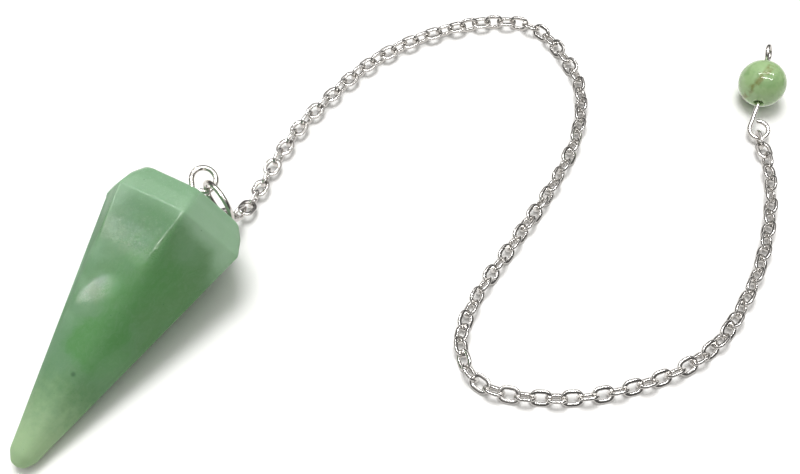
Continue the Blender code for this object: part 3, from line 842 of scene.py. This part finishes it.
class ChainLayout:
    """Middle, long way and turn of every link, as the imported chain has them."""

    def __init__(self, layout):
        self.layout = layout
        chain = layout.chain
        self.solid_radius = chain.link_wire / 2 * chain.wire_fullness
        self.pitch = chain.link_length - chain.link_wire * (1 + chain.wire_seat)
        start = layout.ring_hold()
        end = layout.pin_hold()
        last_turn = 0.0
        for _ in range(3):
            curve = self.curve(start, end, last_turn)
            run = run_lengths(curve)
            count = math.ceil((run[-1] + chain.meeting_slack) / self.pitch)
            last_turn = 90.0 * ((count + 1) % 2)
        self.upper = round(count * chain.upper_share)
        self.spacing = (run[-1] + chain.meeting_slack) / count
        number = np.arange(count)
        near = number * self.spacing - np.where(number < self.upper, 0.0, chain.meeting_slack)
        near_end, far_end = [sampled(curve, run, along) for along in (near, near + self.spacing)]
        self.middles = (near_end + far_end) / 2
        self.headings = unit(far_end - near_end)
        lie = self.lie_turns((near + self.spacing / 2) / run[-1], last_turn)
        self.turns = np.radians(lie + 90.0 * ((number + 1) % 2))

    def lie_turns(self, shares, last_turn):
        places, turns = zip(*CHAIN_LIE)
        return np.interp(shares, [*places, 1.0], [*turns, last_turn])

    def rest_height(self, turn):
        chain = self.layout.chain
        lean = np.radians(turn)
        reach = np.maximum(np.abs(np.sin(lean)), np.abs(np.cos(lean)))
        return (chain.link_width - chain.link_wire) / 2 * reach + self.solid_radius

    def hold(self, wire):
        """How far the chain's end passes the middle of the wire that its last link hangs on."""
        chain = self.layout.chain
        inside = (chain.link_length - chain.link_wire) / 2 - self.solid_radius
        return self.pitch / 2 - (inside - wire / 2 - self.layout.wire.gap)

    def curve(self, start, end, last_turn):
        chain = self.layout.chain
        route = np.asarray(CHAIN_ROUTE) / MM + self.layout.shift[:2]
        plan = smooth_through(np.vstack([start[:2], route, end[:2]]), 24)
        run = run_lengths(plan)
        height = self.rest_height(self.lie_turns(run / run[-1], last_turn))
        fall = np.clip(1 - run / chain.drop_run, 0.0, 1.0) ** 2
        height = height + (start[2] - height[0]) * fall
        curve = np.column_stack([plan, height])
        before = curve[0] + unit(curve[0] - curve[1]) * self.hold(self.layout.wire.ring_wire)
        after = curve[-1] + unit(curve[-1] - curve[-2]) * self.hold(self.layout.wire.pin_wire)
        return np.vstack([before, curve, after])

    def surfaces(self):
        """Copies of one link for each stretch, turned about their long way with some chance."""
        chain = self.layout.chain
        chance = np.random.default_rng(chain.seed).uniform(-1.0, 1.0, len(self.turns))
        turns = (self.turns + chain.sway * chance)[:, None]
        sideways = unit(np.cross(UP, self.headings))
        face_way = swung(turns, np.cross(self.headings, sideways), sideways)
        axes = np.stack([self.headings, np.cross(face_way, self.headings), face_way], axis=1)
        shape, faces = link_shape(chain, self.spacing)
        points = self.middles[:, None] + np.einsum("pk,nkc->npc", shape, axes)
        faces = faces + np.arange(len(points))[:, None, None] * len(shape)
        split = self.upper
        upper = points[:split], faces[:split].reshape(-1, 4)
        lower = points[split:], faces[:len(points) - split].reshape(-1, 4)
        return upper, lower


def link_shape(chain, pitch, stations=40, sides=12):
    """One link: a wire carried round an oval of two half circles and two straights.

    The wire's section is a rounded square pressed flat towards the link's faces: each
    coordinate is a cosine or sine raised to a power below one. The link is just long
    enough for its neighbours' wires to touch and not to cut into each other.
    """
    radius = (chain.link_width - chain.link_wire) / 2
    straight = (pitch + chain.link_wire) / 2 - radius
    half = np.pi * radius + 2 * straight
    along = np.arange(stations) * 2 * half / stations
    side = np.where(along < half, 1.0, -1.0)
    local = np.mod(along, half)
    turn = np.clip((local - straight) / radius, 0.0, np.pi)
    back = np.clip(local - straight - np.pi * radius, 0.0, straight)
    slide = np.clip(local, 0.0, straight) - back
    out = side[:, None] * swung(turn[:, None], NORTH, EAST)
    middle = radius * out + (side * slide)[:, None] * EAST
    ways = swung(round_turns(sides)[:, None] + np.pi / sides, *np.eye(2))
    ways = np.sign(ways) * np.abs(ways) ** (1.0 - chain.flatness)
    wide, thick = (ways * (chain.link_face / 2, 0.92 * chain.link_wire / 2)).T[..., None]
    points = middle[:, None] + wide * out[:, None] + thick * UP
    return points.reshape(-1, 3), grid_faces(stations, sides, wrap_rows=True)


def bead_surface(layout, sides=72):
    """The bead: a closed outline turned about the pin. The outline is the ball's arc
    between the two mouths, two small arcs at the mouths, and the straight bore."""
    bead = layout.bead
    radius = bead.across / 2
    bore = layout.wire.pin_wire / 2 + layout.wire.gap
    soft = bead.mouth_soft
    outer = math.acos((bore + soft) / (radius - soft))
    mouth = (bore + soft, (radius - soft) * math.sin(outer))
    lip = np.linspace(outer, np.pi, 8)[1:, None]
    ball = np.linspace(-outer, outer, 64)[:, None]
    upper = mouth + soft * swung(lip, *np.eye(2))
    inner = np.linspace(mouth[1], -mouth[1], 12)[1:-1]
    outline = np.vstack([
        radius * swung(ball, *np.eye(2)),
        upper,
        np.column_stack([np.full(len(inner), bore), inner]),
        upper[::-1] * (1, -1),
    ])
    turn = round_turns(sides)[:, None, None]
    points = outline[:, :1] * swung(turn, EAST, NORTH) + outline[:, 1:] * UP
    return layout.from_bead(points), grid_faces(sides, len(outline), wrap_rows=True)[:, ::-1]


def eye_surface(layout):
    """The eye: a shank that stands in the stone's table and a loop above it."""
    wire = layout.wire
    across, through = layout.eye_ways()
    way = looped_end(wire.eye_neck, wire.eye_reach, wire.eye_across, wire.eye_wire, wire.loop_slit)
    way = eased(np.vstack([[0.0, -wire.eye_depth], way]), wire.eye_wire)
    points, faces = tube(way @ (across, UP), wire.eye_wire / 2, WIRE_SIDES, through)
    return layout.from_stone(points), faces


def ring_surface(layout):
    """The jump ring: a circle of wire with a slit."""
    wire = layout.wire
    middle, far, through, radius = layout.ring_circle()
    slit = wire.ring_slit / radius
    turn = wire.slit_turn + slit / 2 + np.linspace(0.0, FULL_TURN - slit, RING_STEPS)[:, None]
    path = middle + radius * swung(turn, far, through)
    axis = np.cross(far, through)
    points, faces = tube(path, wire.ring_wire / 2, WIRE_SIDES, axis, domed=0.05)
    return layout.from_stone(points), faces


def pin_surface(layout):
    """The bead's pin: a straight wire with a loop at each end, turned to each other."""
    wire = layout.wire
    radius = layout.bead.across / 2
    wires = (wire.pin_wire, wire.loop_slit)
    lower = looped_end(radius, radius + wire.lower_reach, wire.lower_across, *wires,
                       shift=wire.lower_shift)
    upper = looped_end(radius, radius + wire.upper_reach, wire.upper_across, *wires)
    upper_ways = (swung(wire.upper_turn, EAST, NORTH), -UP)
    path = eased(np.vstack([upper[::-1] @ upper_ways, lower @ (EAST, UP)]), wire.pin_wire)
    swing = wire.upper_turn * np.clip(0.5 - path[:, 2:] / (2 * radius), 0.0, 1.0)
    points, faces = tube(path, wire.pin_wire / 2, PIN_SIDES, swung(swing, NORTH, -EAST))
    return layout.from_bead(points), faces


class PENDANT_OT_stone(bpy.types.Operator):
    """Make the aventurine pendulum"""

    bl_idname = "pendant.stone"
    bl_label = "Stone"

    def execute(self, context):
        layout = Layout(context.scene)
        surface, material = stone_surface(layout), aventurine(layout)
        add_piece("aventurine_pendulum", surface, material, "stone", "stone")
        return {"FINISHED"}


class PENDANT_OT_wire(bpy.types.Operator):
    """Make the eye in the stone, the jump ring and the bead's pin"""

    bl_idname = "pendant.wire"
    bl_label = "Eye, ring and pin"

    def execute(self, context):
        layout = Layout(context.scene)
        material = polished_metal("plated_wire", layout.wire)
        add_piece("screw_eye", eye_surface(layout), material, "wire", "eye_loop")
        add_piece("cut_jump_ring", ring_surface(layout), material, "wire", "jump_ring")
        add_piece("looped_bead_pin", pin_surface(layout), material, "wire", "bead_pin")
        return {"FINISHED"}


class PENDANT_OT_chain(bpy.types.Operator):
    """Make the two stretches of cable chain"""

    bl_idname = "pendant.chain"
    bl_label = "Chain"

    def execute(self, context):
        layout = Layout(context.scene)
        links = ChainLayout(layout)
        material = polished_metal("plated_links", layout.chain)
        upper, lower = links.surfaces()
        add_piece("cable_links_upper", upper, material, "chain", "chain_upper")
        add_piece("cable_links_lower", lower, material, "chain", "chain_lower")
        return {"FINISHED"}


class PENDANT_OT_bead(bpy.types.Operator):
    """Make the drilled bead"""

    bl_idname = "pendant.bead"
    bl_label = "Bead"

    def execute(self, context):
        layout = Layout(context.scene)
        add_piece("aventurine_bead", bead_surface(layout), bead_stone(layout), "bead", "bead")
        return {"FINISHED"}


class PENDANT_OT_stage(bpy.types.Operator):
    """Make the floor, the soft light and the camera"""

    bl_idname = "pendant.stage"
    bl_label = "Stage"

    def execute(self, context):
        scene = context.scene
        stage = scene.pendant_stage
        self.add_floor(stage)
        self.add_camera(scene, stage)
        self.add_lamps(stage)
        self.add_room(scene, stage)
        scene.view_settings.view_transform = "Standard"
        return {"FINISHED"}

    def add_floor(self, stage):
        material, board = new_finish("table_white")
        board.finish(Base_Color=(*stage.floor, 1.0), Roughness=0.7, Specular_IOR_Level=0.1)
        mesh = bpy.data.meshes.new("table_top")
        corners = [(-1.5, -1.5, 0), (1.5, -1.5, 0), (1.5, 1.5, 0), (-1.5, 1.5, 0)]
        mesh.from_pydata(corners, [], [range(4)])
        mesh.materials.append(material)
        floor = add_object("table_top", mesh)
        floor.visible_glossy = False

    def add_camera(self, scene, stage):
        """Looks down at the aim point with the photo's tilt; the frame's long side is X."""
        data = bpy.data.cameras.new("camera")
        data.sensor_width = 36.0
        data.lens = stage.lens
        data.clip_start = 0.005
        camera = add_object("camera", data)
        aim = np.array([*AIM_PLACE, 0.0]) + Layout(scene).shift * (1.0, 1.0, 0.0)
        camera.location = aim + (0.0, -stage.height / math.tan(stage.tilt), stage.height)
        camera.rotation_euler = (math.pi / 2 - stage.tilt, 0.0, 0.0)
        scene.camera = camera

    def add_lamps(self, stage):
        """The key lights the surfaces, and the other lamps only show in them."""
        for name, place, aim, size, spin, spread, power, units in LAMPS:
            data = bpy.data.lights.new(name, "AREA")
            data.shape = "RECTANGLE"
            data.size, data.size_y = np.array(size) / MM
            data.energy = getattr(stage, power) * units
            data.spread = math.radians(spread)
            lamp = add_object(name, data)
            lamp.location = np.array(place) / MM
            aimed = (Vector(place) - Vector(aim)).to_track_quat("Z", "Y")
            lamp.rotation_euler = (aimed @ Quaternion(UP, math.radians(spin))).to_euler()
            lamp.visible_camera = False
            lamp.visible_diffuse = name == "key"
            lamp.visible_glossy = name != "key"

    def add_room(self, scene, stage):
        """The room's light eases from dim walls at the horizon to a paler ceiling, and
        below it to the ground that polished faces show."""
        world = bpy.data.worlds.new("room")
        world.use_nodes = True
        scene.world = world
        board = Board(world.node_tree, "Background")
        way = board.node("ShaderNodeTexCoord", output="Generated")
        height = board.dot(way, UP)
        leftward = board.dot(way, (-0.94, 0.34, 0.0))
        room = board.ease(height, 0.45, 0.95, stage.walls, stage.ceiling)
        ground = board.ease(height, -0.30, -0.03, stage.ground, 0.0)
        level = room * (1.0 + leftward * stage.window) + ground
        board.finish(Color=(1.0, 0.98, 0.96, 1.0), Strength=level)


class PENDANT_PT_panel(bpy.types.Panel):
    """Lists the pieces and their settings"""

    bl_idname = "PENDANT_PT_panel"
    bl_label = "Pendulum pendant"
    bl_space_type = "VIEW_3D"
    bl_region_type = "UI"
    bl_category = "Pendant"

    def draw(self, context):
        for settings, group, operator in GROUPS:
            box = self.layout.box()
            box.operator(operator.bl_idname)
            for name in group.__annotations__:
                box.prop(getattr(context.scene, settings), name)


GROUPS = (
    ("pendant_stone", StoneSettings, PENDANT_OT_stone),
    ("pendant_wire", WireSettings, PENDANT_OT_wire),
    ("pendant_chain", ChainSettings, PENDANT_OT_chain),
    ("pendant_bead", BeadSettings, PENDANT_OT_bead),
    ("pendant_stage", StageSettings, PENDANT_OT_stage),
)


def register():
    for settings, group, operator in GROUPS:
        bpy.utils.register_class(group)
        setattr(bpy.types.Scene, settings, PointerProperty(type=group))
        bpy.utils.register_class(operator)
    bpy.utils.register_class(PENDANT_PT_panel)


def unregister():
    bpy.utils.unregister_class(PENDANT_PT_panel)
    for settings, group, operator in reversed(GROUPS):
        bpy.utils.unregister_class(operator)
        delattr(bpy.types.Scene, settings)
        bpy.utils.unregister_class(group)


def main():
    register()
    bpy.ops.pendant.stage()
    bpy.ops.pendant.stone()
    bpy.ops.pendant.wire()
    bpy.ops.pendant.chain()
    bpy.ops.pendant.bead()


if __name__ == "__main__":
    main()
